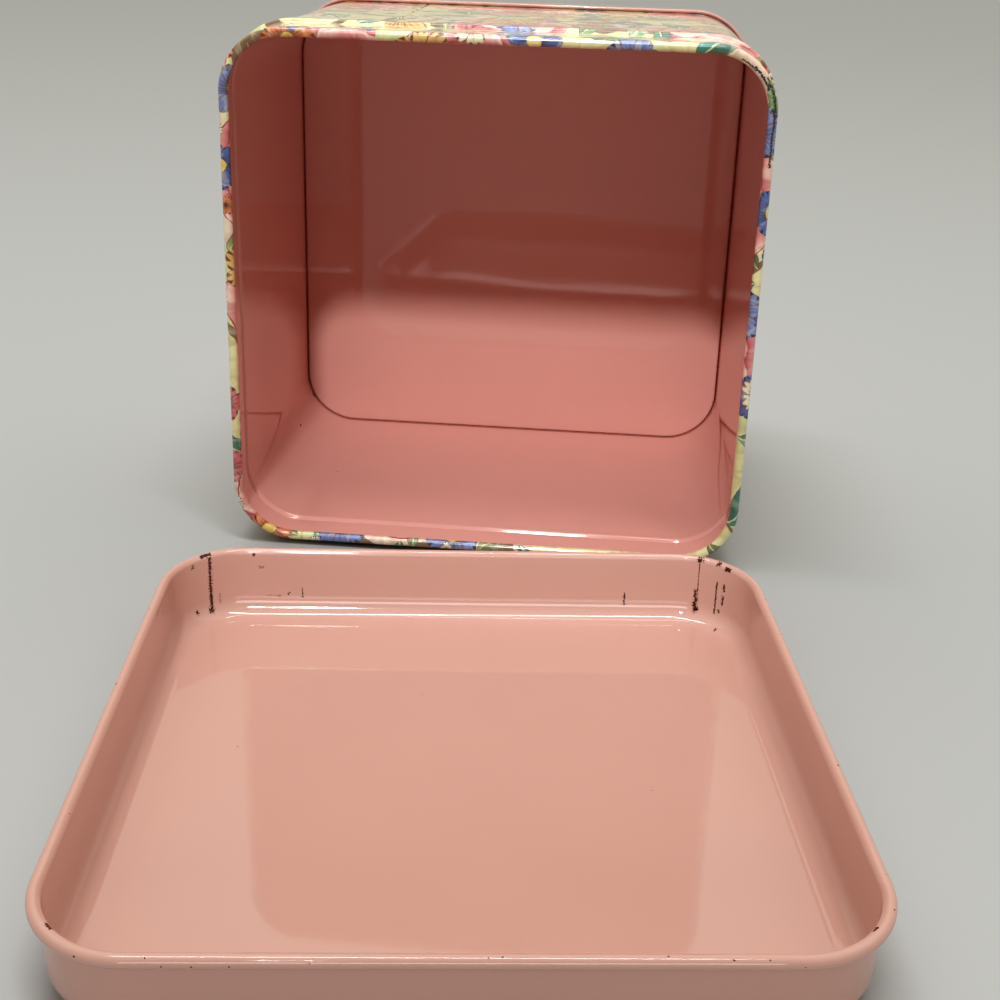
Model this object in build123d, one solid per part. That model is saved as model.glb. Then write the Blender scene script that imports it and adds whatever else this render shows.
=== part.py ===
from build123d import *
import math
import os

# Tinplate box with a slip-on lid, lying open: the box is on its side with the mouth
# towards -Y, and the lid lies upside down in front of it. Millimetres, +Z up.
# The origin is on the surface under the middle of the whole arrangement.

# Driving dimensions
lid_width = 140.0           # over the rolled edge
lid_height = 17.0           # panel to the crest of the rolled edge
lid_bend_radius = 4.6       # inside, between panel and skirt
lid_clearance = 0.3         # between skirt and box wall, all round
sheet = 0.3                 # thickness of the tinplate
lacquer_gap = 0.05          # between two layers that are folded together
bend_error = 0.1            # a bend is drawn as flats, this close to its true arc at most
curl_diameter = 2.4         # rolled edges of lid and box
curl_turn = 300             # degrees that a rolled edge is turned
corner_radius = 16.0        # outside, upright corners of the box
box_depth = 93.5            # mouth to the face of the bottom panel
seam_height = 3.0           # double seam round the bottom
bead_distance = 14.2        # mouth to the middle of the stop bead
bead_turn = 65.0            # degrees that the wall turns on either flank of the stop bead
bottom_bend_radius = 0.8    # centre of the sheet, panel to countersunk wall
lock_seam_offset = -31.0    # middle of the upright lock seam, from the middle of its wall
lock_seam_width = 4.0       # between the two folds
lock_step_turn = 80.0       # degrees, where the wall steps in behind the seam
lock_step_gap = 0.15        # fold of the seam to the foot of that step
lap_length = 1.0            # plain wall between the lock seam and what is formed next to it
hook_clearance = 0.2        # free end of a hook, short of the fold that it lies in
lid_turn = 6.5              # degrees that the lid is turned to the box
lid_distance = 100.5        # mouth to the middle of the lid
lid_aside = 6.0             # middle of the box to the middle of the lid


def step_radius(height, turn):
    """Radius of the two equal bends, each of this turn in degrees, that step a sheet over."""
    return height / (2 * (1 - math.cos(math.radians(turn))))


# Dependent dimensions
layer = sheet + lacquer_gap
curl_radius = curl_diameter / 2
curl_line_radius = curl_radius - sheet / 2
box_width = lid_width - 2 * (curl_diameter + lid_clearance)
box_height = box_depth + seam_height
seam_stand = 3 * layer
bead_radius = step_radius(seam_stand, bead_turn)
lock_step_radius = step_radius(3 * layer, lock_step_turn)
corner_reach = box_width / 2 - corner_radius
wall_line = corner_radius - sheet / 2
skirt_line = corner_radius + lid_clearance + sheet / 2


def flats_in_bend(radius, turn):
    """How many flats draw a bend within bend_error of its arc: an even number, so that a half
    turn or a bead has a corner at its crest and keeps its height."""
    widest = 2 * math.degrees(math.acos(1 - bend_error / radius))
    return 2 * math.ceil(abs(turn) / (2 * widest))


def bent_sheet(start, heading, *moves):
    """Section of a bent sheet, from its centre line's start and direction.
    A move is a length to run on, or (radius of the centre line, turn in degrees)."""
    place = Vector(*start)
    along = Vector(*heading).normalized()
    half = sheet / 2
    left_side = []
    right_side = []

    def mark_sides():
        across = along.rotate(Axis.Z, 90) * half
        left_side.append(place + across)
        right_side.append(place - across)

    mark_sides()
    for move in moves:
        if isinstance(move, tuple):
            radius, turn = move
            inward = along.rotate(Axis.Z, math.copysign(90, turn))
            centre = place + inward * radius
            flats = flats_in_bend(radius + half, turn)
            for _ in range(flats):
                place = centre + (place - centre).rotate(Axis.Z, turn / flats)
                along = along.rotate(Axis.Z, turn / flats)
                mark_sides()
        else:
            place = place + along * move
            mark_sides()
    return make_face(Polyline(*left_side, *reversed(right_side), close=True))


def carried_round(section):
    """Carry a section, drawn as X out from a corner's centre and Y up, round the four sides."""
    upright = Plane.XZ * section
    solid = None
    for quarter in range(4):
        corner = Pos(corner_reach, corner_reach, 0) * revolve(upright, Axis.Z, revolution_arc=90)
        side = Pos(corner_reach, -corner_reach, 0) * extrude(upright, 2 * corner_reach, dir=(0, 1, 0))
        piece = Rot(0, 0, 90 * quarter) * (corner + side)
        solid = piece if solid is None else solid + piece
    return solid


def panel(edge, low, high):
    """Flat plate inside a section that starts at this distance from a corner's centre."""
    size = 2 * (corner_reach + edge)
    return Pos(0, 0, low) * extrude(RectangleRounded(size, size, edge), high - low)


def make_box_wall():
    # from the free end of the seam hook, down, round and up the wall to the rolled edge
    fold_height = 2 * layer + sheet / 2
    hook_top = seam_height - sheet / 2 - layer - hook_clearance
    bead_half = 2 * bead_radius * math.sin(math.radians(bead_turn))
    bead_height = box_height - bead_distance
    curl_height = box_height - curl_radius
    section = bent_sheet(
        (wall_line + 2 * layer, hook_top), (0, -1),
        hook_top - fold_height,
        (layer, -180),
        bead_height - bead_half - fold_height,
        (bead_radius, -bead_turn),
        (bead_radius, 2 * bead_turn),
        (bead_radius, -bead_turn),
        curl_height - bead_height - bead_half,
        (curl_line_radius, curl_turn),
    )
    wall = carried_round(section)
    return with_lock_seam(wall, seam_height + lap_length, bead_height - bead_half - lap_length)


def with_lock_seam(wall, low, high):
    """Open the wall along the seam and hook its two edges into each other."""
    wall_middle = box_width / 2 - sheet / 2
    left = lock_seam_offset - lock_seam_width / 2
    right = lock_seam_offset + lock_seam_width / 2
    step_length = 2 * lock_step_radius * math.sin(math.radians(lock_step_turn))
    step_end = right + lock_step_gap
    cut_left = left - 2 * layer
    cut_right = step_end + step_length
    slot_depth = 3 * sheet
    slot = Pos((cut_left + cut_right) / 2, wall_middle, (low + high) / 2) * Box(
        cut_right - cut_left, slot_depth, high - low)
    hook = lock_seam_width - hook_clearance
    outer_edge = bent_sheet(
        (cut_left, wall_middle), (1, 0),
        right - cut_left,
        (layer, -180),
        hook,
    )
    inner_edge = bent_sheet(
        (cut_right, wall_middle), (-1, 0),
        (lock_step_radius, lock_step_turn),
        (lock_step_radius, -lock_step_turn),
        step_end - left,
        (layer, -180),
        hook,
    )
    wall = wall - slot
    for edge in (outer_edge, inner_edge):
        wall = wall + Pos(0, 0, low) * extrude(edge, high - low)
    return wall


def make_box_bottom():
    # from the panel, down the countersunk wall, round the foot and over into the hook
    fold_height = 2 * layer + sheet / 2
    top_fold = seam_height - sheet / 2 - layer
    panel_line = seam_height - sheet / 2
    start = wall_line - layer - bottom_bend_radius
    section = bent_sheet(
        (start, panel_line), (1, 0),
        (bottom_bend_radius, -90),
        panel_line - bottom_bend_radius - fold_height,
        (2 * layer, 180),
        top_fold - fold_height,
        (layer, 180),
        top_fold - fold_height - hook_clearance,
    )
    return carried_round(section) + panel(start, seam_height - sheet, seam_height)


def make_lid():
    # drawn upside down: panel, bend, skirt and the edge rolled outwards
    bend = lid_bend_radius + sheet / 2
    start = skirt_line - bend
    section = bent_sheet(
        (start, sheet / 2), (1, 0),
        (bend, 90),
        lid_height - curl_radius - sheet / 2 - bend,
        (curl_line_radius, -curl_turn),
    )
    return carried_round(section) + panel(start, 0, sheet)


# Where the pieces lie: the whole arrangement is centred on the origin
turn = math.radians(lid_turn)
lid_reach = corner_reach * (math.cos(turn) + math.sin(turn)) + lid_width / 2 - corner_reach
box_reach = box_width / 2 + seam_stand
row_left = min(-lid_reach, -lid_aside - box_reach)
row_right = max(lid_reach, box_reach - lid_aside)
row_front = -lid_distance - lid_reach
row_back = box_height
lid_across = -(row_left + row_right) / 2
mouth = -(row_front + row_back) / 2
lid_place = Pos(lid_across, mouth - lid_distance, 0) * Rot(0, 0, lid_turn)
box_place = Pos(lid_across - lid_aside, mouth + box_height, box_reach) * Rot(90, 0, 0)

pieces = {
    "box_wall": box_place * make_box_wall(),
    "box_bottom": box_place * make_box_bottom(),
    "lid": lid_place * make_lid(),
}

os.makedirs("parts", exist_ok=True)
for name, piece in pieces.items():
    export_step(piece, f"parts/{name}.step")
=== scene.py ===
import math

import bpy
from mathutils import Matrix, Vector


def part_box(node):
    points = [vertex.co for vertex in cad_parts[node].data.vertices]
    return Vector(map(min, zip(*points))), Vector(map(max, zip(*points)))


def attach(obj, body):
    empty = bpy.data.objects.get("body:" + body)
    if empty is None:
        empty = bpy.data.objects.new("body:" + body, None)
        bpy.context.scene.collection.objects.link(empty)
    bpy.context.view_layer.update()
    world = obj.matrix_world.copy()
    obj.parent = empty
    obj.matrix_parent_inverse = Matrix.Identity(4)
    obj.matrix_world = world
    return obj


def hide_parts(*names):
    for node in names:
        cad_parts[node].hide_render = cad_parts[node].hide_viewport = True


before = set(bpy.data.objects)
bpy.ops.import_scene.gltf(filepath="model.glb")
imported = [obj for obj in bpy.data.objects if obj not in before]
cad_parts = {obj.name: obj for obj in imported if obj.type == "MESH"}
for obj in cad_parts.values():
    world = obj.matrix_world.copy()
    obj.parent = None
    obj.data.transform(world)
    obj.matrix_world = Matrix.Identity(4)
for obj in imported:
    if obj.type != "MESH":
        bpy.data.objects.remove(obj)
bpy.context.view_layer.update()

# Tinplate box with a slip-on lid, lying open. Sizes are in millimetres until a mesh is made.
MM = 0.001

# Sheet and its rolled, beaded and seamed edges
sheet = 0.3                 # thickness of the tinplate
lacquer_gap = 0.05          # between two layers that are folded together
layer = sheet + lacquer_gap
curl_diameter = 2.4         # rolled edges of lid and box
curl_radius = curl_diameter / 2
curl_line_radius = curl_radius - sheet / 2
curl_turn = 300             # degrees
corner_radius = 16.0        # outside, upright corners of the box
lid_clearance = 0.3         # between the lid's skirt and the box wall
lid_bend_radius = 4.6       # inside, between panel and skirt
seam_height = 3.0           # double seam round the bottom
seam_stand = 3 * layer      # how far seams and bead stand out of the wall
low_fold = 2 * layer + sheet / 2                # height where the seam's lower bends start
high_fold = seam_height - sheet / 2 - layer     # and its upper ones
bead_distance = 14.2        # mouth to the middle of the stop bead
bead_turn = 65.0            # degrees, either flank of the stop bead
bottom_bend_radius = 0.8    # centre of the sheet, panel to countersunk wall
hook_clearance = 0.2        # free end of a hook, short of the fold that it lies in
lock_seam_offset = -31.0    # middle of the upright lock seam, from the middle of its wall
lock_seam_width = 4.0       # between the two folds
lock_step_turn = 80.0       # degrees, where the wall steps in behind the seam
lock_step_gap = 0.15        # fold of the seam to the foot of that step
lap_length = 1.0            # plain wall between the lock seam and what is formed next to it
lid_turn = 6.5              # degrees that the lid is turned to the box

# Sides of a sheet, seen along its section. Right is the outside of every piece here
RIGHT = 0
LEFT = 1
both_sides = ((RIGHT, -0.5), (LEFT, 0.5))   # with their way to the left of the middle, in sheets

# How finely the meshes follow the bends
arc_step = 10.0             # degrees
straight_step = 4.0
corner_steps = 20
plate_rings = 22
sharp_angle = 50.0          # degrees between faces, above which an edge isn't smoothed
slack = 0.001               # for comparing lengths


def corners_of(node):
    """Lowest and highest corner of a node, in millimetres."""
    low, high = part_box(node)
    return Vector(low) / MM, Vector(high) / MM


wall_low, wall_high = corners_of("box_wall")
_, bottom_high = corners_of("box_bottom")
lid_low, lid_high = corners_of("lid")

box_width = wall_high.x - wall_low.x - 2 * seam_stand
box_height = bottom_high.y - wall_low.y
lid_height = lid_high.z - lid_low.z
corner_reach = box_width / 2 - corner_radius
wall_line = corner_radius - sheet / 2
skirt_line = corner_radius + lid_clearance + sheet / 2


def step_radius(height, turn):
    """Radius of the two equal bends, each of this turn in degrees, that step a sheet over."""
    return height / (2 * (1 - math.cos(math.radians(turn))))


bead_radius = step_radius(seam_stand, bead_turn)
lock_step_radius = step_radius(seam_stand, lock_step_turn)

# Where each piece is drawn and where it lies
foot = Vector(((wall_low.x + wall_high.x) / 2, bottom_high.y, (wall_low.z + wall_high.z) / 2))
on_box = Matrix.Translation(foot) @ Matrix.Rotation(math.radians(90), 4, "X")
lid_middle = Vector(((lid_low.x + lid_high.x) / 2, (lid_low.y + lid_high.y) / 2, lid_low.z))
on_lid = Matrix.Translation(lid_middle) @ Matrix.Rotation(math.radians(lid_turn), 4, "Z")


# Bent sheets

def bent_sheet(start, heading, *moves):
    """Centre line of a bent sheet as stations (place, direction to its left, length run so far).
    A move is a length to run on, or (radius of the centre line, turn in degrees)."""
    place = Vector(start)
    along = Vector(heading).normalized()
    run = 0.0
    stations = [(place.copy(), along.orthogonal(), run)]
    for move in moves:
        if isinstance(move, tuple):
            radius, turn = move
            steps = max(2, math.ceil(abs(turn) / arc_step))
            step = math.radians(turn) / steps
            centre = place + along.orthogonal() * math.copysign(radius, turn)
            for _ in range(steps):
                place = centre + Matrix.Rotation(step, 2) @ (place - centre)
                along = Matrix.Rotation(step, 2) @ along
                run += radius * abs(step)
                stations.append((place.copy(), along.orthogonal(), run))
        else:
            steps = math.ceil(move / straight_step)
            for _ in range(steps):
                place = place + along * move / steps
                run += move / steps
                stations.append((place.copy(), along.orthogonal(), run))
    return stations


def round_path(marks):
    """Once round the four sides, counter-clockwise from the first mark on the +Y side, as stations
    (corner centre or point on its line, direction out, length run so far)."""
    reach = corner_reach
    stations = []
    run = 0.0
    sides = [((reach, reach), (-1, 0)), ((-reach, reach), (0, -1)), ((-reach, -reach), (1, 0)),
             ((reach, -reach), (0, 1))]
    steps = math.ceil(2 * reach / straight_step)
    start = marks[0]
    even = {round(reach - 2 * reach * k / steps, 6) for k in range(steps + 1)}
    first_side = sorted(even | set(marks), reverse=True)
    stops = [x for x in first_side if x <= start]
    last_stops = [x for x in first_side if x >= start]
    stations.append((Vector((start, reach)), Vector((0, 1)), 0.0))

    def go_on(x_from, x_to):
        nonlocal run
        run += x_from - x_to
        stations.append((Vector((x_to, reach)), Vector((0, 1)), run))

    for here, there in zip(stops, stops[1:]):
        go_on(here, there)
    for number in (1, 2, 3, 0):
        centre, along = Vector(sides[number][0]), Vector(sides[number][1])
        out = Vector((along.y, -along.x))
        before = Matrix.Rotation(math.radians(-90), 2) @ out
        for k in range(1, corner_steps + 1):
            angle = math.radians(90 * k / corner_steps)
            run += wall_line * math.radians(90 / corner_steps)
            stations.append((centre, Matrix.Rotation(angle, 2) @ before, run))
        if number == 0:
            for here, there in zip(last_stops, last_stops[1:]):
                go_on(here, there)
        else:
            for k in range(1, steps + 1):
                run += 2 * reach / steps
                stations.append((centre + along * 2 * reach * k / steps, out, run))
    return stations


class SheetMesh:
    """Points and faces of one pressed sheet, with the place on the flat sheet at each face corner."""

    def __init__(self):
        self.points = []
        self.faces = []
        self.sides = []
        self.flat_places = []

    def face(self, side, *corners):
        """A corner is (number of the point, place round, place along the section)."""
        if side == LEFT:
            corners = corners[::-1]
        self.faces.append([c[0] for c in corners])
        self.sides.append(side)
        self.flat_places.extend((c[1], c[2], 0.0) for c in corners)

    def make(self, name, matrix, materials, body, replaced):
        """The finished piece, with what it rides on, and the node that it stands for."""
        data = bpy.data.meshes.new(name)
        placed = [matrix @ p * MM for p in self.points]
        data.from_pydata(placed, [], self.faces)
        for material in materials:
            data.materials.append(material)
        data.polygons.foreach_set("material_index", self.sides)
        flat = data.attributes.new("flat_place", "FLOAT_VECTOR", "CORNER")
        flat.data.foreach_set("vector", [v for place in self.flat_places for v in place])
        data.shade_smooth()
        data.set_sharp_from_angle(angle=math.radians(sharp_angle))
        data.validate()
        piece = bpy.data.objects.new(name, data)
        bpy.context.collection.objects.link(piece)
        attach(piece, body)
        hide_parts(replaced)
        return piece


def carry_round(mesh, profile, path, unevenness, window=None, plate=False):
    """Add a section that is carried round the four sides. window is (low, high, end, start) of an
    opening that lies across the path's own start. plate closes the section's inner edge."""
    rounds = len(path) - 1
    first = len(mesh.points)
    for side, sign in both_sides:
        for place, left, _ in profile:
            edge = place + left * sheet * sign
            for centre, out, _ in path[:-1]:
                plan = centre + out * edge.x
                mesh.points.append(unevenness(plan, edge.y, out))

    def corner(side, i, j):
        return (first + (side * len(profile) + i) * rounds + j % rounds, path[j][2], profile[i][2])

    def is_open(i, j):
        if window is None:
            return False
        low, high, end, start = window
        return low < profile[i][0].y < high and not end <= path[j][2] < start

    for side in (RIGHT, LEFT):
        for i in range(len(profile) - 1):
            for j in range(rounds):
                if not is_open(i, j):
                    mesh.face(side, corner(side, i, j), corner(side, i, j + 1),
                              corner(side, i + 1, j + 1), corner(side, i + 1, j))
    last = len(profile) - 1
    for j in range(rounds):
        mesh.face(RIGHT, corner(RIGHT, last, j), corner(RIGHT, last, j + 1),
                  corner(LEFT, last, j + 1), corner(LEFT, last, j))
        if not plate:
            mesh.face(RIGHT, corner(LEFT, 0, j), corner(LEFT, 0, j + 1),
                      corner(RIGHT, 0, j + 1), corner(RIGHT, 0, j))
    if plate:
        for side, sign in both_sides:
            close_plate(mesh, side, sign, profile, path, unevenness, corner)


def close_plate(mesh, side, sign, profile, path, unevenness, corner):
    """Rings from the inner edge of the section to the middle of the panel."""
    rounds = len(path) - 1
    place, left, _ = profile[0]
    edge = place + left * sheet * sign
    start = len(mesh.points)
    for ring in range(1, plate_rings):
        scale = 1 - ring / plate_rings
        for centre, out, _ in path[:-1]:
            mesh.points.append(unevenness((centre + out * edge.x) * scale, edge.y, None))
    middle = len(mesh.points)
    mesh.points.append(unevenness(Vector((0, 0)), edge.y, None))

    def ring_corner(ring, j):
        if ring == 0:
            return corner(side, 0, j)
        return (start + (ring - 1) * rounds + j % rounds, path[j][2], -ring)

    for ring in range(1, plate_rings):
        for j in range(rounds):
            mesh.face(side, ring_corner(ring, j), ring_corner(ring, j + 1),
                      ring_corner(ring - 1, j + 1), ring_corner(ring - 1, j))
    for j in range(rounds):
        mesh.face(side, (middle, path[j][2], -plate_rings), ring_corner(plate_rings - 1, j + 1),
                  ring_corner(plate_rings - 1, j))


def add_strip(mesh, profile, heights, round_run, outside, unevenness):
    """Add a bent strip, drawn in plan, that stands at these (height, place along the section).
    round_run is (place round at its start, sign of its way on), outside the side with the print."""
    count = len(profile)
    levels = len(heights)
    first = len(mesh.points)
    for side, sign in both_sides:
        for place, left, _ in profile:
            edge = place + left * sheet * sign
            for height, _ in heights:
                mesh.points.append(unevenness(edge, height, Vector((0, 1))))

    def corner(side, i, level):
        return (first + (side * count + i) * levels + level,
                round_run[0] + round_run[1] * profile[i][2], heights[level][1])

    top = levels - 1
    for i in range(count - 1):
        for side in (RIGHT, LEFT):
            for k in range(top):
                mesh.face(side, corner(side, i, k), corner(side, i + 1, k),
                          corner(side, i + 1, k + 1), corner(side, i, k + 1))
                mesh.sides[-1] = int(side != outside)
        mesh.face(RIGHT, corner(RIGHT, i, top), corner(RIGHT, i + 1, top),
                  corner(LEFT, i + 1, top), corner(LEFT, i, top))
        mesh.face(RIGHT, corner(RIGHT, i + 1, 0), corner(RIGHT, i, 0),
                  corner(LEFT, i, 0), corner(LEFT, i + 1, 0))
    last = count - 1
    for k in range(top):
        mesh.face(RIGHT, corner(RIGHT, last, k), corner(LEFT, last, k),
                  corner(LEFT, last, k + 1), corner(RIGHT, last, k + 1))


# The give of the sheets: pressed tinplate is never quite flat

panel_give = 0.16           # the most that a panel gives
wall_give = 0.22            # the most that a side of the box gives
wave_along = 21.0           # lengths of the waves, for one radian
wave_across = 27.0
wave_aslant = 15.0
aslant_share = 0.6          # height of the wave aslant, as a share of the other's
lid_crown = 0.6             # share of the lid's give that is a plain crown, and not a wave
straight = 0.999            # a way out that points along an axis by this much is a flat side's


def swell(x, y, phase):
    """A slow wave between -1 and 1 over a panel."""
    wave = math.sin(x / wave_along + phase) * math.cos(y / wave_across - phase)
    aslant = math.sin((x + y) / wave_aslant + 2 * phase)
    return (wave + aslant_share * aslant) / (1 + aslant_share)


def fade(t, reach):
    """1 in the middle, and 0 from reach outwards."""
    return max(0.0, 1 - (t / reach) ** 2) ** 2


def panel_rise(x, y):
    """How far a panel may rise at this point: most in its middle, and not at all at its edges."""
    return panel_give * fade(x, corner_reach) * fade(y, corner_reach)


def lid_unevenness(plan, z, out):
    """Only the panel gives. Its points are those without a way out."""
    x, y = plan
    rise = 0.0
    if out is None:
        rise = panel_rise(x, y) * (lid_crown + (1 - lid_crown) * swell(x, y, 0.4))
    return Vector((x, y, z + rise))


def bottom_unevenness(plan, z, out):
    """As the lid's, and without a crown."""
    x, y = plan
    rise = 0.0
    if out is None:
        rise = panel_rise(x, y) * swell(x, y, 1.9)
    return Vector((x, y, z + rise))


def wall_unevenness(plan, z, out):
    """The four flat sides give, and less towards corners, foot and bead."""
    x, y = plan
    side = corner_reach
    if abs(out.y) > straight:
        side = x
    elif abs(out.x) > straight:
        side = y
    middle = box_height - bead_distance
    push = wall_give * fade(side, corner_reach) * fade(2 * z / middle - 1, 1.0)
    push *= swell(side, z, out.x + 2 * out.y)
    return Vector((x + out.x * push, y + out.y * push, z))


# Colours and finishes

def linear(hex_code):
    """sRGB hex to linear RGBA."""
    values = [int(hex_code[i:i + 2], 16) / 255 for i in (1, 3, 5)]
    return [v / 12.92 if v <= 0.04045 else ((v + 0.055) / 1.055) ** 2.4 for v in values] + [1.0]


def add(tree, kind, inputs=None, **settings):
    """Add a node with its settings. An input is a value, a socket, or a node whose output it takes."""
    node = tree.nodes.new(kind)
    for name, value in settings.items():
        setattr(node, name, value)
    for key, value in (inputs or {}).items():
        if isinstance(value, bpy.types.Node):
            value = next(socket for socket in value.outputs if socket.enabled)
        if isinstance(value, bpy.types.NodeSocket):
            tree.links.new(value, node.inputs[key])
        else:
            node.inputs[key].default_value = value
    return node


def new_finish(name):
    """A new material with its node tree and its shader."""
    material = bpy.data.materials.new(name)
    material.use_nodes = True
    tree = material.node_tree
    tree.nodes.clear()
    surface = add(tree, "ShaderNodeBsdfPrincipled")
    add(tree, "ShaderNodeOutputMaterial", {"Surface": surface})
    return material, tree, surface


def set_ramp(node, stops, interpolation="LINEAR"):
    """Give a colour ramp its stops, (place, hex colour)."""
    ramp = node.color_ramp
    ramp.interpolation = interpolation
    while len(ramp.elements) < len(stops):
        ramp.elements.new(1.0)
    for element, (place, colour) in zip(ramp.elements, stops):
        element.position = place
        element.color = linear(colour)
    return node


# The floral print, in millimetres on the flat sheet. Each motif is scattered by cells

def scatter(tree, place, pitch, seed, spread=0.45):
    """The offset from the nearest motif's middle, and three random shares of that motif. The seed moves
    the cells, so that no two kinds of motif share them."""
    moved = add(tree, "ShaderNodeVectorMath", {0: place, 1: (seed * 57.3, seed * 31.9, 0.0)})
    cell = add(tree, "ShaderNodeTexVoronoi", {"Vector": moved, "Scale": 1 / pitch, "Randomness": spread},
               voronoi_dimensions="2D")
    offset = add(tree, "ShaderNodeVectorMath", {0: moved, 1: cell.outputs["Position"]},
                 operation="SUBTRACT")
    shares = add(tree, "ShaderNodeSeparateColor", {0: cell.outputs["Color"]})
    return offset, shares.outputs[0], shares.outputs[1], shares.outputs[2]


def polar(tree, offset, share):
    """Distance from the middle, and the angle from a random start."""
    far = add(tree, "ShaderNodeVectorMath", {0: offset}, operation="LENGTH").outputs["Value"]
    split = add(tree, "ShaderNodeSeparateXYZ", {0: offset})
    angle = add(tree, "ShaderNodeMath", {0: split.outputs[1], 1: split.outputs[0]}, operation="ARCTAN2")
    turned = add(tree, "ShaderNodeMath", {0: share, 1: math.tau, 2: angle}, operation="MULTIPLY_ADD")
    return far, turned


def lay_over(tree, ground, ink, inside, share, kept):
    """The ink over the ground inside a motif, where the motif is one of those that are kept."""
    chosen = add(tree, "ShaderNodeMath", {0: share, 1: kept}, operation="LESS_THAN")
    mask = add(tree, "ShaderNodeMath", {0: inside, 1: chosen}, operation="MULTIPLY")
    return add(tree, "ShaderNodeMix", {0: mask, 6: ground, 7: ink}, data_type="RGBA")


def bloom(tree, ground, place, seed, pitch, radius, petals, notch, kept, inks, heart):
    """Open flowers: petals that are rounded at the tip, a dark line between them, and a round heart."""
    offset, first, second, third = scatter(tree, place, pitch, seed)
    far, angle = polar(tree, offset, first)
    wave = add(tree, "ShaderNodeMath", {0: angle, 1: petals / 2}, operation="MULTIPLY")
    wave = add(tree, "ShaderNodeMath", {0: wave}, operation="COSINE")
    wave = add(tree, "ShaderNodeMath", {0: wave}, operation="ABSOLUTE")
    round_tip = add(tree, "ShaderNodeMath", {0: wave, 1: 0.45}, operation="POWER")
    reach = add(tree, "ShaderNodeMapRange", {0: round_tip, 3: radius * (1 - notch), 4: radius})
    size = add(tree, "ShaderNodeMath", {0: second, 1: 0.35, 2: 0.75}, operation="MULTIPLY_ADD")
    reach = add(tree, "ShaderNodeMath", {0: reach, 1: size}, operation="MULTIPLY")
    out = add(tree, "ShaderNodeMath", {0: far, 1: reach}, operation="DIVIDE")
    inside = add(tree, "ShaderNodeMath", {0: out, 1: 1.0}, operation="LESS_THAN")
    steps = [(i / len(inks), ink) for i, ink in enumerate(inks)]
    petal = set_ramp(add(tree, "ShaderNodeValToRGB", {0: second}), steps, "CONSTANT")
    streak = add(tree, "ShaderNodeMath", {0: angle, 1: petals * 3.0}, operation="MULTIPLY")
    streak = add(tree, "ShaderNodeMath", {0: streak}, operation="SINE")
    tone = add(tree, "ShaderNodeMath", {0: streak, 1: 0.12, 2: out}, operation="MULTIPLY_ADD")
    shade = set_ramp(add(tree, "ShaderNodeValToRGB", {0: tone}),
                     [(0.25, "#A88880"), (0.42, "#D2C4BC"), (0.7, "#FFFFFF"), (0.92, "#F4EEE8"),
                      (0.96, "#8A5A50")])
    ink = add(tree, "ShaderNodeMix", {0: 1.0, 6: petal, 7: shade}, data_type="RGBA", blend_type="MULTIPLY")
    line = add(tree, "ShaderNodeMath", {0: wave, 1: 0.12}, operation="LESS_THAN")
    ink = add(tree, "ShaderNodeMix", {0: line, 6: ink, 7: linear("#85564F")}, data_type="RGBA")
    middle = add(tree, "ShaderNodeMath", {0: far, 1: radius * 0.24}, operation="LESS_THAN")
    ink = add(tree, "ShaderNodeMix", {0: middle, 6: ink, 7: linear(heart)}, data_type="RGBA")
    return lay_over(tree, ground, ink, inside, third, kept)


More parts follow.
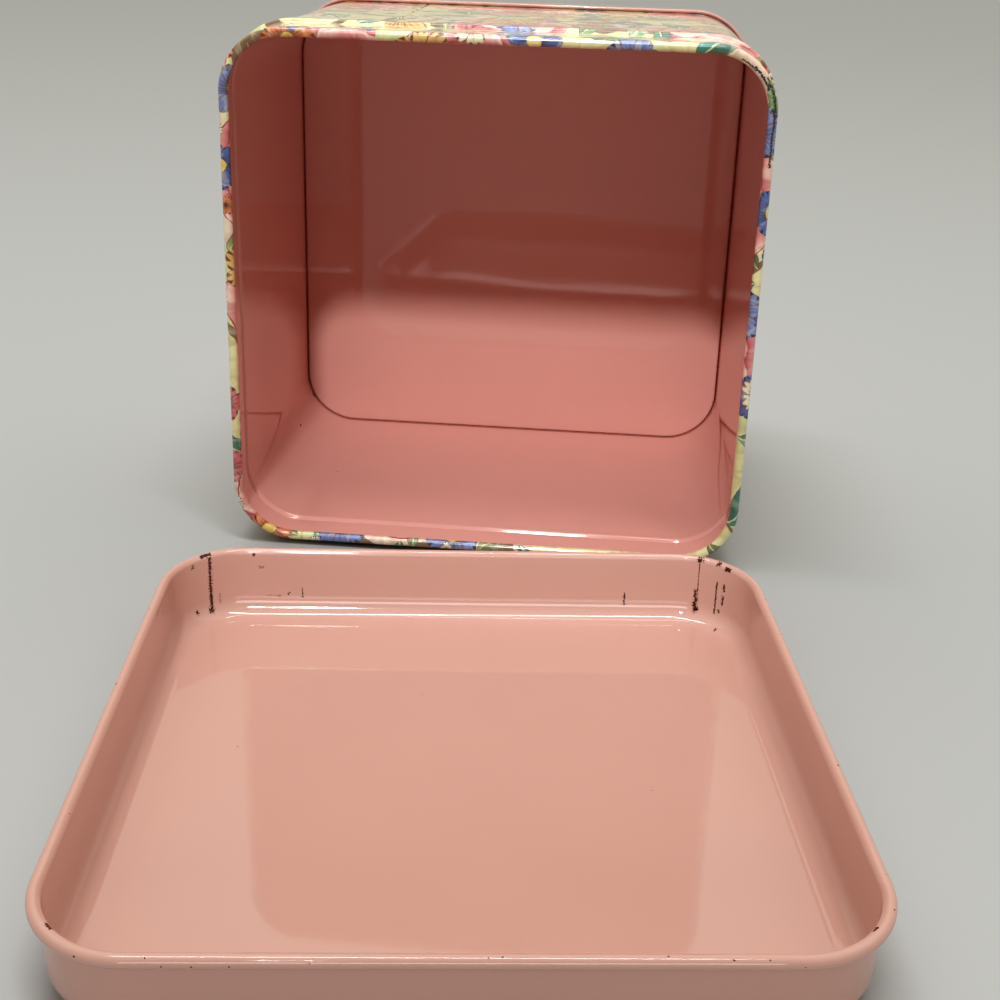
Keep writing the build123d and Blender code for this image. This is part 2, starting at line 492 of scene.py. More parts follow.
def full_rose(tree, ground, place, seed, pitch, radius, kept):
    """Full-blown roses: whorls of petals, each pale at its lip and deep where the next one covers it."""
    offset, first, second, third = scatter(tree, place, pitch, seed, 0.3)
    far, angle = polar(tree, offset, first)
    size = add(tree, "ShaderNodeMath", {0: second, 1: 0.22, 2: 0.82}, operation="MULTIPLY_ADD")
    far = add(tree, "ShaderNodeMath", {0: far, 1: size}, operation="DIVIDE")
    turns = add(tree, "ShaderNodeMath", {0: angle, 1: 1 / math.tau}, operation="MULTIPLY")
    whorl = add(tree, "ShaderNodeMath", {0: far, 1: 3.4 / radius, 2: turns}, operation="MULTIPLY_ADD")
    whorl_number = add(tree, "ShaderNodeMath", {0: whorl}, operation="FLOOR")
    lobes = add(tree, "ShaderNodeMath", {0: whorl_number, 1: 1.9}, operation="MULTIPLY")
    lobes = add(tree, "ShaderNodeMath", {0: angle, 1: 2.5, 2: lobes}, operation="MULTIPLY_ADD")
    lobes = add(tree, "ShaderNodeMath", {0: lobes}, operation="COSINE")
    lobes = add(tree, "ShaderNodeMath", {0: lobes}, operation="ABSOLUTE")
    petal = add(tree, "ShaderNodeMath", {0: lobes, 1: -0.42, 2: whorl}, operation="MULTIPLY_ADD")
    lip = add(tree, "ShaderNodeMath", {0: petal}, operation="FRACT")
    ink = set_ramp(add(tree, "ShaderNodeValToRGB", {0: lip}),
                   [(0.0, "#8E2B34"), (0.05, "#C5616A"), (0.35, "#DE8C88"), (0.72, "#EDB3A6"),
                    (0.9, "#F7D6C6"), (0.97, "#E79B94")])
    out = add(tree, "ShaderNodeMath", {0: far, 1: radius}, operation="DIVIDE")
    depth = set_ramp(add(tree, "ShaderNodeValToRGB", {0: out}),
                     [(0.0, "#C46A6C"), (0.3, "#EBBDB6"), (0.55, "#FFFFFF")])
    ink = add(tree, "ShaderNodeMix", {0: 1.0, 6: ink, 7: depth}, data_type="RGBA", blend_type="MULTIPLY")
    edge = add(tree, "ShaderNodeMath", {0: angle, 1: 5.0}, operation="MULTIPLY")
    edge = add(tree, "ShaderNodeMath", {0: edge}, operation="SINE")
    edge = add(tree, "ShaderNodeMath", {0: edge, 1: radius * 0.07, 2: radius * 0.93},
               operation="MULTIPLY_ADD")
    inside = add(tree, "ShaderNodeMath", {0: far, 1: edge}, operation="LESS_THAN")
    rim = add(tree, "ShaderNodeMath", {0: edge, 1: 0.35}, operation="SUBTRACT")
    rim = add(tree, "ShaderNodeMath", {0: far, 1: rim}, operation="GREATER_THAN")
    ink = add(tree, "ShaderNodeMix", {0: rim, 6: ink, 7: linear("#A8454C")}, data_type="RGBA")
    return lay_over(tree, ground, ink, inside, third, kept)


def leaf(tree, ground, place, seed, pitch, length, width, kept, inks):
    """Pointed leaves, bent a little, light on one half and dark on the other, with a pale midrib."""
    offset, first, second, third = scatter(tree, place, pitch, seed)
    angle = add(tree, "ShaderNodeMath", {0: first, 1: math.tau}, operation="MULTIPLY")
    turned = add(tree, "ShaderNodeVectorRotate", {"Vector": offset, "Angle": angle}, rotation_type="Z_AXIS")
    split = add(tree, "ShaderNodeSeparateXYZ", {0: turned})
    along = add(tree, "ShaderNodeMath", {0: split.outputs[0], 1: 2 / length}, operation="MULTIPLY")
    square = add(tree, "ShaderNodeMath", {0: along, 1: along}, operation="MULTIPLY")
    across = add(tree, "ShaderNodeMath", {0: square, 1: -0.3 * width, 2: split.outputs[1]},
                 operation="MULTIPLY_ADD")
    side = add(tree, "ShaderNodeMath", {0: across}, operation="ABSOLUTE")
    reach = add(tree, "ShaderNodeMath", {0: square, 1: -width / 2, 2: width / 2}, operation="MULTIPLY_ADD")
    inside = add(tree, "ShaderNodeMath", {0: side, 1: reach}, operation="LESS_THAN")
    steps = [(i / len(inks), ink) for i, ink in enumerate(inks)]
    ink = set_ramp(add(tree, "ShaderNodeValToRGB", {0: second}), steps, "CONSTANT")
    dark_half = add(tree, "ShaderNodeMath", {0: across, 1: 0.0}, operation="GREATER_THAN")
    tone = add(tree, "ShaderNodeMath", {0: side, 1: -0.9, 2: split.outputs[0]}, operation="MULTIPLY_ADD")
    vein = add(tree, "ShaderNodeMath", {0: tone, 1: 9.0 / length}, operation="MULTIPLY")
    vein = add(tree, "ShaderNodeMath", {0: vein}, operation="FRACT")
    vein = add(tree, "ShaderNodeMath", {0: vein, 1: 0.16}, operation="LESS_THAN")
    shade = add(tree, "ShaderNodeMath", {0: vein, 1: 0.22, 2: dark_half}, operation="MULTIPLY_ADD")
    shade = add(tree, "ShaderNodeMath", {0: shade, 1: 0.55}, operation="MULTIPLY")
    deep = add(tree, "ShaderNodeMix", {0: shade, 6: ink, 7: linear("#4C5A44")}, data_type="RGBA")
    rim = add(tree, "ShaderNodeMath", {0: reach, 1: 0.22}, operation="SUBTRACT")
    rim = add(tree, "ShaderNodeMath", {0: side, 1: rim}, operation="GREATER_THAN")
    lined = add(tree, "ShaderNodeMix", {0: rim, 6: deep, 7: linear("#615A45")}, data_type="RGBA")
    rib = add(tree, "ShaderNodeMath", {0: side, 1: width * 0.035}, operation="LESS_THAN")
    lined = add(tree, "ShaderNodeMix", {0: rib, 6: lined, 7: linear("#D9D7A4")}, data_type="RGBA")
    return lay_over(tree, ground, lined, inside, third, kept)


def twigs(tree, ground, place, seed, pitch, width, ink):
    """Winding twigs, along the level lines of a slow noise."""
    moved = add(tree, "ShaderNodeVectorMath", {0: place, 1: (seed * 91.7, seed * 17.3, 0.0)})
    level = add(tree, "ShaderNodeTexNoise", {"Vector": moved, "Scale": 1 / pitch, "Detail": 0.5},
                noise_dimensions="2D")
    near = add(tree, "ShaderNodeMath", {0: level.outputs[0], 1: 0.5, 2: 0.8 * width / pitch},
               operation="COMPARE")
    return add(tree, "ShaderNodeMix", {0: near, 6: ground, 7: linear(ink)}, data_type="RGBA")


def hand_drawn(tree, place):
    """The place with the small wobble of a hand-cut screen, so that no motif is quite regular."""
    wobbled = place
    for pitch, reach in ((9.0, 2.6), (1.8, 0.55)):
        wobble = add(tree, "ShaderNodeTexNoise", {"Vector": place, "Scale": 1 / pitch, "Detail": 1.0},
                     noise_dimensions="2D")
        push = add(tree, "ShaderNodeVectorMath", {0: wobble.outputs["Color"], 1: (0.5, 0.5, 0.5)},
                   operation="SUBTRACT")
        wobbled = add(tree, "ShaderNodeVectorMath", {0: push, 1: (reach, reach, 0.0), 2: wobbled},
                      operation="MULTIPLY_ADD")
    return wobbled


def floral_print(tree, flat_place):
    """Roses, open flowers, leaves and twigs over a pale wash, each motif laid over those before it."""
    place = hand_drawn(tree, flat_place)
    wash = add(tree, "ShaderNodeTexNoise", {"Vector": place, "Scale": 1 / 22.0, "Detail": 1.5},
               noise_dimensions="2D")
    print_ = set_ramp(add(tree, "ShaderNodeValToRGB", {0: wash.outputs[0]}),
                      [(0.0, "#D6D5A0"), (0.38, "#D9D69E"), (0.40, "#E4DAA0"), (0.60, "#E8DDA6"),
                       (0.62, "#EBD9B8"), (0.66, "#E6C9B4")])
    print_ = twigs(tree, print_, place, seed=1, pitch=34.0, width=0.75, ink="#8A6E4E")
    print_ = leaf(tree, print_, place, seed=2, pitch=11.0, length=9.0, width=4.2, kept=0.5,
                  inks=("#A3A468", "#8B8F62", "#B6A873", "#7FA06E"))
    print_ = leaf(tree, print_, place, seed=3, pitch=17.0, length=16.0, width=7.0, kept=0.62,
                  inks=("#5E9A78", "#4E9284", "#7B9A5E", "#3F8F7C"))
    print_ = full_rose(tree, print_, place, seed=4, pitch=47.0, radius=19.5, kept=0.78)
    print_ = leaf(tree, print_, place, seed=5, pitch=19.0, length=17.0, width=6.5, kept=0.4,
                  inks=("#4E9C93", "#6F9B7C", "#8A8A58", "#4B8C66"))
    print_ = bloom(tree, print_, place, seed=6, pitch=24.0, radius=7.6, petals=8, notch=0.22, kept=0.5,
                   inks=("#5A6EAE", "#DE8A55", "#8390C4", "#E5BE72"), heart="#E9C667")
    print_ = bloom(tree, print_, place, seed=7, pitch=15.0, radius=4.6, petals=5, notch=0.3, kept=0.42,
                   inks=("#F4EFE2", "#E59A94", "#F2E6C4", "#D8747A"), heart="#A12E34")
    print_ = bloom(tree, print_, place, seed=8, pitch=9.0, radius=2.1, petals=5, notch=0.35, kept=0.3,
                   inks=("#BE4F52", "#5068AE", "#F1E7D0", "#DE8E55"), heart="#6E2026")
    return brushed(tree, print_, place)


def brushed(tree, inks, place):
    """The uneven tone of painted artwork: short brush strokes that lie thick and thin."""
    stroke = add(tree, "ShaderNodeVectorMath", {0: place, 1: (1 / 3.2, 1 / 5.5, 0.0)}, operation="MULTIPLY")
    strokes = add(tree, "ShaderNodeTexNoise",
                  {"Vector": stroke, "Scale": 1.0, "Detail": 2.0, "Distortion": 0.8}, noise_dimensions="2D")
    tone = set_ramp(add(tree, "ShaderNodeValToRGB", {0: strokes.outputs[0]}),
                    [(0.32, "#E6DEDA"), (0.5, "#F8F5F2"), (0.68, "#FFFFFF")])
    inks = add(tree, "ShaderNodeMix", {0: 1.0, 6: inks, 7: tone}, data_type="RGBA", blend_type="MULTIPLY")
    thin = add(tree, "ShaderNodeMapRange", {0: strokes.outputs[0], 1: 0.52, 2: 0.75, 3: 0.0, 4: 0.35})
    return add(tree, "ShaderNodeMix", {0: thin, 6: inks, 7: linear("#EBDFBE")}, data_type="RGBA")


# Enamel and varnish, with their wear. Sizes and places on the flat sheet are in millimetres

cloud_size = 35.0           # slow change of tone and gloss in the enamel
speck_pitch = 13.0          # dust specks that were stoved in
speck_radius = 0.156
peel_size = 1.6             # the faint orange peel of a rolled coat
peel_height = 0.05
grain_size = 0.4            # torn edges of scratches and chips
chip_size = 1.1
chip_band = 0.9             # half the width of the band of chips along a roll
chip_level = 0.825          # the higher, the fewer chips
lid_roll_run = 20.9         # along the lid's section to the top of its roll
print_seam_run = 4.85       # along the wall's section to where the print meets the double seam
# Painted shade: dark red lines in the creases inside the box, where the bottom meets the wall
wall_crease_shade = (4.75, 0.1)  # along the wall's section to the bottom, and half the width of the line there
bottom_crease_shade = (0.9, 0.18)
coating_ior = 1.5


def printed_varnish():
    """Floral print in offset inks under clear stoving varnish on tinplate: glossy, inks flat and dense.
    The varnish is worn to the black plate along the mouth's roll, with a little bare tin."""
    material, tree, surface = new_finish("printed_varnish")
    flat_place = add(tree, "ShaderNodeAttribute", attribute_name="flat_place").outputs["Vector"]
    print_ = floral_print(tree, flat_place)
    grain = ragged_grain(tree, flat_place)
    split = add(tree, "ShaderNodeSeparateXYZ", {0: flat_place})
    # A dark brown line along the wall, just above the double seam
    seam_reach = add(tree, "ShaderNodeMath", {0: grain, 1: 0.3}, operation="MULTIPLY")
    seam_dark_line = add(tree, "ShaderNodeMath", {0: split.outputs[1], 1: print_seam_run, 2: seam_reach},
                     operation="COMPARE")
    seam_dark_line = add(tree, "ShaderNodeMath", {0: seam_dark_line, 1: 0.75}, operation="MULTIPLY")
    print_ = add(tree, "ShaderNodeMix", {0: seam_dark_line, 6: print_, 7: linear("#5A3A2C")}, data_type="RGBA")
    scratched = wear_marks(tree, flat_place, grain, rim_scratches)
    print_ = add(tree, "ShaderNodeMix", {0: scratched, 6: print_, 7: linear("#2B211B")}, data_type="RGBA")
    bare = wear_marks(tree, flat_place, grain, rim_bare)
    print_ = add(tree, "ShaderNodeMix", {0: bare, 6: print_, 7: linear("#9C978C")}, data_type="RGBA")
    roughness = add(tree, "ShaderNodeMath", {0: scratched, 1: 0.4, 2: 0.3}, operation="MULTIPLY_ADD")
    tree.links.new(print_.outputs[2], surface.inputs["Base Color"])
    tree.links.new(bare.outputs[0], surface.inputs["Metallic"])
    tree.links.new(roughness.outputs[0], surface.inputs["Roughness"])
    surface.inputs["IOR"].default_value = coating_ior
    surface.inputs["Coat Weight"].default_value = 0.9
    surface.inputs["Coat Roughness"].default_value = 0.04
    return material


def wear_marks(tree, place, grain, marks):
    """1 inside the marks. A mark is (middle round, middle along the section, half its length round,
    half its length along, half width), and its edge follows the grain."""
    mask = None
    for round_, along, half_round, half_along, width in marks:
        away = add(tree, "ShaderNodeVectorMath", {0: place, 1: (round_, along, 0.0)}, operation="SUBTRACT")
        away = add(tree, "ShaderNodeVectorMath", {0: away}, operation="ABSOLUTE")
        away = add(tree, "ShaderNodeVectorMath", {0: away, 1: (half_round, half_along, 0.0)},
                   operation="SUBTRACT")
        away = add(tree, "ShaderNodeVectorMath", {0: away, 1: (0.0, 0.0, 0.0)}, operation="MAXIMUM")
        far = add(tree, "ShaderNodeVectorMath", {0: away}, operation="LENGTH").outputs["Value"]
        ragged = add(tree, "ShaderNodeMath", {0: grain, 1: width}, operation="MULTIPLY")
        share = add(tree, "ShaderNodeMath", {0: far, 1: ragged}, operation="DIVIDE")
        hit = add(tree, "ShaderNodeMapRange", {0: share, 1: 0.6, 2: 1.1, 3: 1.0, 4: 0.0})
        mask = either(tree, mask, hit)
    return mask


def either(tree, mask, more):
    """1 where one of two masks is. The first may be missing."""
    if mask is None:
        return more
    return add(tree, "ShaderNodeMath", {0: mask, 1: more}, operation="MAXIMUM")


def ragged_grain(tree, place):
    """A grain from 0.1 to 1.7 that gives scratches and chips a torn edge, and breaks up thin ones."""
    noise = add(tree, "ShaderNodeTexNoise", {"Vector": place, "Scale": 1 / grain_size, "Detail": 2.0},
                noise_dimensions="2D")
    return add(tree, "ShaderNodeMapRange", {0: noise.outputs[0], 1: 0.3, 2: 0.7, 3: 0.1, 4: 1.7})


def pink_enamel(name, tones, scratches=(), rubs=(), chip_line=None, crease_shade=None):
    """Pink stoving enamel, roller-coated on tinplate: full gloss, with a trace of orange peel. Scratches
    go down to dark iron, rubs only brown the enamel, and the roll at chip_line has lost small chips.
    The last argument is (place along the section, half width) of the dark red line where two sheets meet:
    painted shade in the crease between them."""
    material, tree, surface = new_finish(name)
    solid_place = add(tree, "ShaderNodeTexCoord").outputs["Object"]
    place = add(tree, "ShaderNodeVectorMath", {0: solid_place, "Scale": 1 / MM}, operation="SCALE")
    flat_place = add(tree, "ShaderNodeAttribute", attribute_name="flat_place").outputs["Vector"]
    cloud = add(tree, "ShaderNodeTexNoise", {"Vector": place, "Scale": 1 / cloud_size, "Detail": 3.0})
    colour = add(tree, "ShaderNodeMix", {0: cloud.outputs[0], 6: linear(tones[0]), 7: linear(tones[1])},
                 data_type="RGBA")
    roughness = add(tree, "ShaderNodeMapRange", {0: cloud.outputs[0], 3: 0.035, 4: 0.06})
    dots = add(tree, "ShaderNodeTexVoronoi", {"Vector": place, "Scale": 1 / speck_pitch})
    dot = add(tree, "ShaderNodeMath", {0: dots.outputs["Distance"], 1: speck_radius / speck_pitch},
              operation="LESS_THAN")
    colour = add(tree, "ShaderNodeMix", {0: dot, 6: colour, 7: linear("#8A5A4C")}, data_type="RGBA")
    grain = ragged_grain(tree, flat_place)
    # Painted shade: a dark red line along the crease where two sheets meet, darker than the enamel round it
    if crease_shade:
        run = add(tree, "ShaderNodeSeparateXYZ", {0: flat_place}).outputs[1]
        reach = add(tree, "ShaderNodeMath", {0: grain, 1: 0.15, 2: crease_shade[1]}, operation="MULTIPLY_ADD")
        deep = add(tree, "ShaderNodeMath", {0: run, 1: crease_shade[0], 2: reach}, operation="COMPARE")
        colour = add(tree, "ShaderNodeMix", {0: deep, 6: colour, 7: linear("#B23A22")}, data_type="RGBA")
    if rubs:
        rubbed = wear_marks(tree, flat_place, grain, rubs)
        share = add(tree, "ShaderNodeMath", {0: rubbed, 1: 0.6}, operation="MULTIPLY")
        colour = add(tree, "ShaderNodeMix", {0: share, 6: colour, 7: linear("#7A5040")}, data_type="RGBA")
    damage = wear_marks(tree, flat_place, grain, scratches)
    if chip_line is not None:
        split = add(tree, "ShaderNodeSeparateXYZ", {0: flat_place})
        near = add(tree, "ShaderNodeMath", {0: split.outputs[1], 1: chip_line, 2: chip_band},
                   operation="COMPARE")
        chips = add(tree, "ShaderNodeTexNoise",
                    {"Vector": flat_place, "Scale": 1 / chip_size, "Detail": 1.0}, noise_dimensions="2D")
        chip = add(tree, "ShaderNodeMath", {0: chips.outputs[0], 1: chip_level}, operation="GREATER_THAN")
        chip = add(tree, "ShaderNodeMath", {0: chip, 1: near}, operation="MULTIPLY")
        damage = either(tree, damage, chip)
    if damage is not None:
        colour = add(tree, "ShaderNodeMix", {0: damage, 6: colour, 7: linear("#40140A")}, data_type="RGBA")
        roughness = add(tree, "ShaderNodeMath", {0: damage, 1: 0.15, 2: roughness},
                        operation="MULTIPLY_ADD")
    tree.links.new(colour.outputs[2], surface.inputs["Base Color"])
    tree.links.new(roughness.outputs[0], surface.inputs["Roughness"])
    surface.inputs["IOR"].default_value = coating_ior
    surface.inputs["Coat Weight"].default_value = 0.1
    surface.inputs["Coat Roughness"].default_value = 0.03
    peel = add(tree, "ShaderNodeTexNoise", {"Vector": place, "Scale": 1 / peel_size, "Detail": 1.0})
    bump = add(tree, "ShaderNodeBump",
               {"Height": peel.outputs[0], "Strength": 0.06, "Distance": peel_height * MM})
    tree.links.new(bump.outputs["Normal"], surface.inputs["Normal"])
    tree.links.new(bump.outputs["Normal"], surface.inputs["Coat Normal"])
    return material


# The pieces

def make_wall(print_finish, enamel):
    """One strip, bent round the four corners and closed by an upright lock seam. Its section runs from
    the hook in the double seam up past the stop bead to the mouth, which is rolled inwards."""
    hook_top = high_fold - hook_clearance
    bead_half = 2 * bead_radius * math.sin(math.radians(bead_turn))
    bead_height = box_height - bead_distance
    curl_height = box_height - curl_radius
    low = seam_height + lap_length
    high = bead_height - bead_half - lap_length
    profile = bent_sheet(
        (wall_line + 2 * layer, hook_top), (0, -1),
        hook_top - low_fold,                        # hook in the double seam
        (layer, -180),
        low - low_fold,
        high - low,                                 # the height of the lock seam
        lap_length,
        (bead_radius, -bead_turn),                  # stop bead
        (bead_radius, 2 * bead_turn),
        (bead_radius, -bead_turn),
        curl_height - bead_height - bead_half,
        (curl_line_radius, curl_turn),              # rolled mouth
    )
    wall_middle = box_width / 2 - sheet / 2
    left = lock_seam_offset - lock_seam_width / 2
    right = lock_seam_offset + lock_seam_width / 2
    step_length = 2 * lock_step_radius * math.sin(math.radians(lock_step_turn))
    step_end = right + lock_step_gap
    cut_left = left - 2 * layer
    cut_right = step_end + step_length
    fold_edge = right + layer + sheet / 2
    path = round_path([fold_edge, cut_left, cut_right])
    whole = path[-1][2]
    heights = [(place.y, run) for place, _, run in profile
               if abs(place.x - wall_line) < slack and low - slack < place.y < high + slack]
    to_left = fold_edge - cut_left
    to_right = whole - (cut_right - fold_edge)
    mesh = SheetMesh()
    window = (low - slack, high - slack, to_left - slack, to_right - slack)
    carry_round(mesh, profile, path, wall_unevenness, window)
    hook = lock_seam_width - hook_clearance
    outer_edge = bent_sheet((cut_left, wall_middle), (1, 0), right - cut_left, (layer, -180), hook)
    inner_edge = bent_sheet((cut_right, wall_middle), (-1, 0), (lock_step_radius, lock_step_turn),
                            (lock_step_radius, -lock_step_turn), step_end - left, (layer, -180), hook)
    add_strip(mesh, outer_edge, heights, (to_left, -1), LEFT, wall_unevenness)
    add_strip(mesh, inner_edge, heights, (to_right, 1), RIGHT, wall_unevenness)
    return mesh.make("printed_wall", on_box, [print_finish, enamel], "box", "box_wall")


def make_bottom(enamel):
    """A countersunk panel whose edge runs down inside the wall, round under its foot, up outside it and
    into the wall's own hook."""
    panel_line = seam_height - sheet / 2
    start = wall_line - layer - bottom_bend_radius
    profile = bent_sheet(
        (start, panel_line), (1, 0),
        (bottom_bend_radius, -90),
        panel_line - bottom_bend_radius - low_fold,
        (2 * layer, 180),                           # round the wall's foot
        high_fold - low_fold,
        (layer, 180),                               # over the top of the wall's hook
        high_fold - low_fold - hook_clearance,
    )
    mesh = SheetMesh()
    carry_round(mesh, profile, round_path([0.0]), bottom_unevenness, plate=True)
    return mesh.make("seamed_bottom", on_box, [enamel, enamel], "box", "box_bottom")


def make_lid(outside, inside):
    """A drawn pan that lies upside down: panel, skirt, and an edge that is rolled outwards."""
    bend = lid_bend_radius + sheet / 2
    start = skirt_line - bend
    profile = bent_sheet(
        (start, sheet / 2), (1, 0),
        (bend, 90),
        lid_height - curl_radius - sheet / 2 - bend,    # skirt
        (curl_line_radius, -curl_turn),                 # rolled edge
    )
    mesh = SheetMesh()
    carry_round(mesh, profile, round_path([0.0]), lid_unevenness, plate=True)
    return mesh.make("slip_lid", on_lid, [outside, inside], "lid", "lid")


# Stage, in metres

def make_floor():
    """Matt pale paper: even, and without a mirrored image."""
    data = bpy.data.meshes.new("floor")
    reach = 12.0
    data.from_pydata([(-reach, -reach, 0), (reach, -reach, 0), (reach, reach, 0), (-reach, reach, 0)], [],
                     [(0, 1, 2, 3)])
    floor = bpy.data.objects.new("floor", data)
    bpy.context.collection.objects.link(floor)
    material, _, surface = new_finish("pale_floor")
    surface.inputs["Base Color"].default_value = linear("#BEC0C0")
    surface.inputs["Roughness"].default_value = 0.55
    data.materials.append(material)


def place_light(data, place, target):
    light = bpy.data.objects.new(data.name, data)
    light.location = place
    light.rotation_euler = (Vector(target) - Vector(place)).to_track_quat("-Z", "Y").to_euler()
    bpy.context.collection.objects.link(light)
    return light


def add_lamp(name, place, target, size, power):
    """A soft rectangular lamp. Its size is (width, height), its power in watts."""
    data = bpy.data.lights.new(name, "AREA")
    data.shape = "RECTANGLE"
    data.size, data.size_y = size
    data.energy = power
    return place_light(data, place, target)


def light_only(lamp, pieces):
    """Let a lamp light these pieces and nothing else."""
    lit = bpy.data.collections.new("lit_by_" + lamp.name)
    for piece in pieces:
        lit.objects.link(piece)
    lamp.light_linking.receiver_collection = lit


def make_camera():
    """Close above the near rim of the lid, looking down into the box. The lens looks over the middle of
    the picture, which the shift brings down again."""
    place = Vector((22.1, -294.4, 165.1)) * MM
    heading = math.radians(-4.14)
    down = math.radians(20.57)
    roll = math.radians(-1.83)
    forward = Vector((math.sin(heading) * math.cos(down), math.cos(heading) * math.cos(down),
                      -math.sin(down)))
    right = forward.cross(Vector((0, 0, 1))).normalized()
    right = Matrix.Rotation(roll, 3, forward) @ right
    up = right.cross(forward)
    data = bpy.data.cameras.new("camera")
    data.sensor_width = 36.0
    data.lens = 49.75
    data.shift_y = -0.08
    data.clip_start = 0.01
    camera = bpy.data.objects.new("camera", data)
    turned = Matrix((right, up, -forward)).transposed().to_4x4()
    camera.matrix_world = Matrix.Translation(place) @ turned
    bpy.context.collection.objects.link(camera)
    bpy.context.scene.camera = camera


def make_room():
    """A pale ceiling over dimmer walls, which lights from all round and more from behind the box."""
    world = bpy.data.worlds.new("room")
    world.use_nodes = True
    tree = world.node_tree
    towards = add(tree, "ShaderNodeSeparateXYZ", {0: add(tree, "ShaderNodeTexCoord").outputs["Generated"]})
    ceiling = set_ramp(add(tree, "ShaderNodeValToRGB", {0: towards.outputs[2]}),
                       [(0.0, "#A6A193"), (0.5, "#ABA698"), (0.72, "#F2F0EA"), (1.0, "#FFFEFA")])
    strength = add(tree, "ShaderNodeMapRange", {0: towards.outputs[1], 1: -0.9, 2: 0.8, 3: 0.2, 4: 1.4},
                   interpolation_type="SMOOTHSTEP")
    room = add(tree, "ShaderNodeVectorMath", {0: ceiling, "Scale": strength}, operation="SCALE")
    background = tree.nodes["Background"]
    tree.links.new(room.outputs[0], background.inputs["Color"])
    background.inputs["Strength"].default_value = 0.95
    bpy.context.scene.world = world
    view = bpy.context.scene.view_settings
    view.view_transform = "Standard"
    view.look = "Medium High Contrast"


def hang_lamps(pieces, lid):
    """A long lamp overhead, a narrow one high in front that reaches the lower inside of the box, and a
    weak one for the lid's near skirt. The last two light no floor, so that they draw no spots on it."""
    add_lamp("long_lamp", place=(-0.05, -0.1, 1.3), target=(0, 0, 0), size=(0.9, 0.09), power=6.2)
    beam = bpy.data.lights.new("front_lamp", "SPOT")
    beam.energy = 191.0
    beam.color = linear("#F0FBFF")[:3]
    beam.spot_size = math.radians(6.9)
    beam.spot_blend = 0.7
    beam.shadow_soft_size = 0.09
    light_only(place_light(beam, place=(-0.07, -1.73, 1.88), target=(0, 0.085, 0.06)), pieces)
    fill = add_lamp("skirt_fill", place=(0.1, -1.2, 0.3), target=(0, -0.14, 0.01), size=(0.7, 0.3),
                    power=2.8)
    light_only(fill, [lid])


# Wear, as marks on the flat sheet: on the box's roll at one upper corner, and specks inside the box
rim_scratches = [
    (420.4, 99.9, 2.4, 0.0, 0.22), (415.5, 99.6, 3.4, 0.0, 0.32), (409.8, 99.0, 3.8, 0.0, 0.4),
    (404.0, 99.1, 2.2, 0.0, 0.38), (397.5, 99.2, 4.4, 0.0, 0.3), (417.2, 93.6, 0.2, 0.0, 0.5),
    (418.0, 5.2, 7.0, 0.1, 0.42), (407.5, 5.1, 2.0, 0.1, 0.3),
    (414.5, 6.1, 2.6, 0.2, 0.4), (410.5, 6.7, 1.2, 0.3, 0.36),
    (416.0, 93.4, 0.1, 0.0, 0.34), (400.3, 98.5, 0.1, 0.0, 0.18), (238.0, 99.3, 1.2, 0.0, 0.16),
]
rim_bare = [(414.0, 98.9, 0.8, 0.1, 0.16), (411.2, 99.3, 0.9, 0.0, 0.12)]
wall_specks = [(160.0, 30.0, 0.0, 0.2, 0.42), (177.8, 49.7, 0.0, 0.0, 0.24), (401.0, 50.1, 0.0, 0.0, 0.26),
               (158.0, 5.6, 0.6, 0.1, 0.35), (232.0, 38.0, 0.0, 0.0, 0.2)]

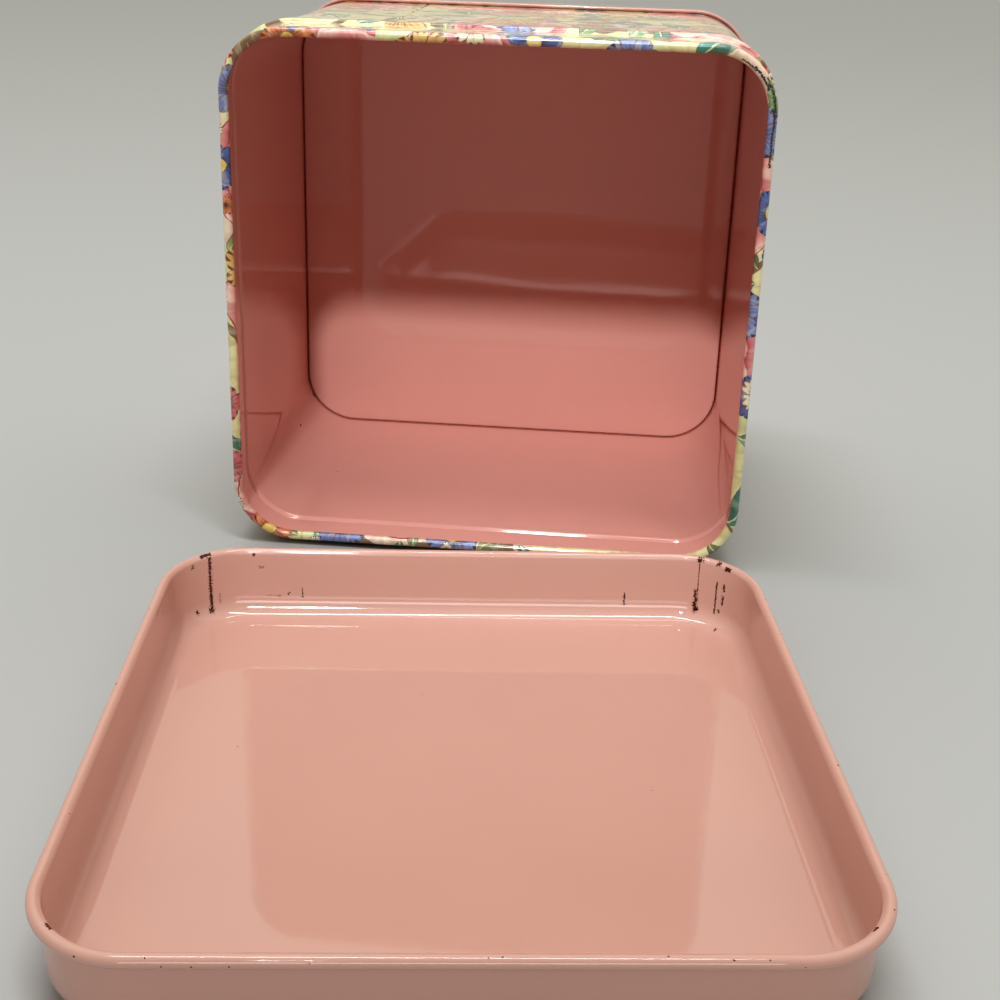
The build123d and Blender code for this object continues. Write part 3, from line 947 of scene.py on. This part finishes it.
# On the lid: scratches in its far corners and on its near roll, and rubbed places
once_round = 8 * corner_reach + math.tau * wall_line
lid_scratches = [
    (60.9, 11.8, 0.0, 6.7, 0.46), (61.2, 4.9, 0.1, 0.2, 0.7), (61.6, 19.4, 1.2, 0.2, 0.3),
    (65.5, 17.8, 0.0, 0.1, 0.45), (65.1, 5.4, 0.0, 0.2, 0.45), (50.4, 18.3, 0.2, 0.2, 0.17),
    (42.3, 7.8, 0.0, 0.2, 0.2), (42.0, 8.3, 0.0, 0.1, 0.14), (38.9, 8.0, 0.0, 0.9, 0.13),
    (38.8, 7.1, 0.1, 0.0, 0.26), (once_round - 57.2, 9.7, 0.0, 0.8, 0.34),
    (once_round - 57.6, 8.3, 0.1, 0.4, 0.3), (once_round - 57.2, 7.0, 0.2, 0.5, 0.32),
    (once_round - 57.7, 5.9, 0.3, 0.3, 0.36),
    (once_round - 40.0, 7.6, 0.0, 1.5, 0.26), (once_round - 57.7, 19.1, 0.4, 0.2, 0.45),
    (once_round - 57.7, 14.5, 0.0, 4.0, 0.14), (once_round - 62.4, 10.2, 0.0, 4.2, 0.24),
    (once_round - 64.4, 13.6, 0.0, 0.8, 0.36), (once_round - 64.3, 10.2, 0.0, 1.1, 0.34),
    (once_round - 63.5, 7.0, 0.0, 0.1, 0.4), (once_round - 62.3, 19.2, 0.2, 0.2, 0.4),
    (once_round - 64.9, 18.7, 0.6, 0.3, 0.3), (once_round - 64.8, 2.1, 0.0, 0.1, 0.4),
    (190.5, 19.4, 0.7, 0.1, 0.28), (319.5, 19.4, 0.5, 0.1, 0.2), (303.0, 22.7, 1.4, 0.0, 0.16),
    (258.0, 23.0, 5.5, 0.0, 0.12), (275.5, 23.0, 4.0, 0.0, 0.12), (283.3, 23.0, 1.2, 0.0, 0.12),
]
lid_rubs = [
    (once_round - 57.4, 8.0, 0.1, 2.8, 0.55), (46.6, 7.4, 1.2, 0.0, 0.13), (44.6, 7.3, 0.3, 0.1, 0.2),
    (38.9, 8.3, 0.0, 1.2, 0.2), (58.7, 7.4, 0.0, 1.1, 0.22), (48.7, 15.0, 0.5, 0.2, 0.2),
]

# The box's pink is given a redder tone than the lid's, so that the inside of the box, lit mostly by bounce
# light, comes out as deep a red as it looks: painted shade
box_tones = ("#E3A497", "#DEA093")
lid_tones = ("#D0A395", "#CB9E90")
lid_outside = pink_enamel("pink_enamel_lid_outside", lid_tones, chip_line=lid_roll_run)
lid_inside = pink_enamel("pink_enamel_lid", lid_tones, lid_scratches, lid_rubs, chip_line=lid_roll_run)
wall_enamel = pink_enamel("pink_enamel_inside", box_tones, wall_specks, crease_shade=wall_crease_shade)
bottom_enamel = pink_enamel("pink_enamel_bottom", box_tones, crease_shade=bottom_crease_shade)
wall = make_wall(printed_varnish(), wall_enamel)
bottom = make_bottom(bottom_enamel)
lid = make_lid(lid_outside, lid_inside)
make_floor()
make_room()
hang_lamps([wall, bottom, lid], lid)
make_camera()
